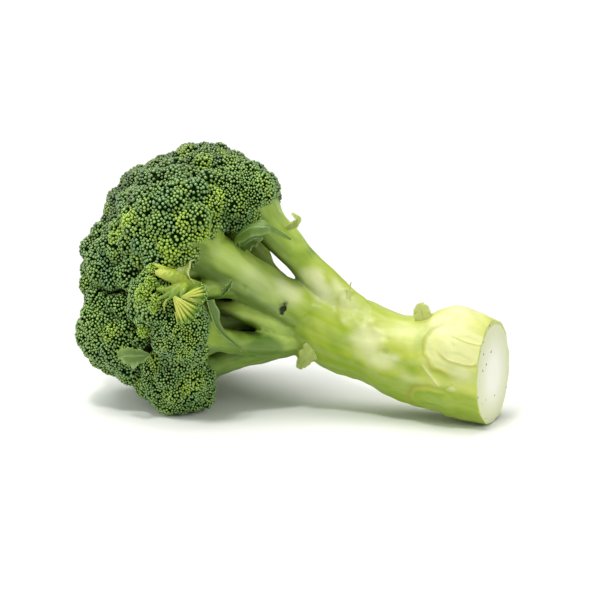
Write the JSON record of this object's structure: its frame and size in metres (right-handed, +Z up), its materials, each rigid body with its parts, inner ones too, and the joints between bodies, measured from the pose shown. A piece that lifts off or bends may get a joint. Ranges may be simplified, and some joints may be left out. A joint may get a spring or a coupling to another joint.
{
  "type": "broccoli head",
  "caption": "Fresh broccoli head lying on its side: a thick cut stalk forks into branches under domed crowns of green buds, with small leaves between them.",
  "frame": {"origin": "under the middle of the head's bounding box, on the surface it lies on", "axes": "+Z up as it lies, +X along the stalk towards the cut end, crowns towards -X"},
  "size_m": [0.1968, 0.1262, 0.1185],
  "materials": {
    "stalk": "smooth waxy skin, pale green where scraped and at the cut",
    "buds": "tight closed flower buds with a waxy bloom",
    "young_buds": "yellow-green inner buds and pale stems",
    "leaf": "matt blue-green leaf with pale veins"
  },
  "bodies": {
    "root": {"stalk": "stalk", "broken_floret": "young_buds", "crown_end": "buds", "crown_end_upper": "buds", "crown_end_front": "buds", "crown_end_rear": "buds", "crown_upper_front": "buds", "crown_top": "buds", "crown_upper_right": "buds", "crown_front_middle": "buds", "crown_front_inner": "buds", "crown_lower_left": "buds", "crown_lower_front": "buds", "crown_lower_middle": "buds", "crown_lower_end": "buds", "crown_lower_rear": "buds", "crown_rear_low": "buds", "crown_rear_middle": "buds", "crown_rear_upper": "buds", "crown_rear_right": "buds", "leaf_upper": "leaf", "leaf_upper_inner": "leaf", "leaf_fork_small": "leaf", "leaf_fork_long": "leaf", "leaf_lower_left": "leaf", "leaf_curl": "leaf", "leaf_rear": "leaf"}
  },
  "joints": []
}
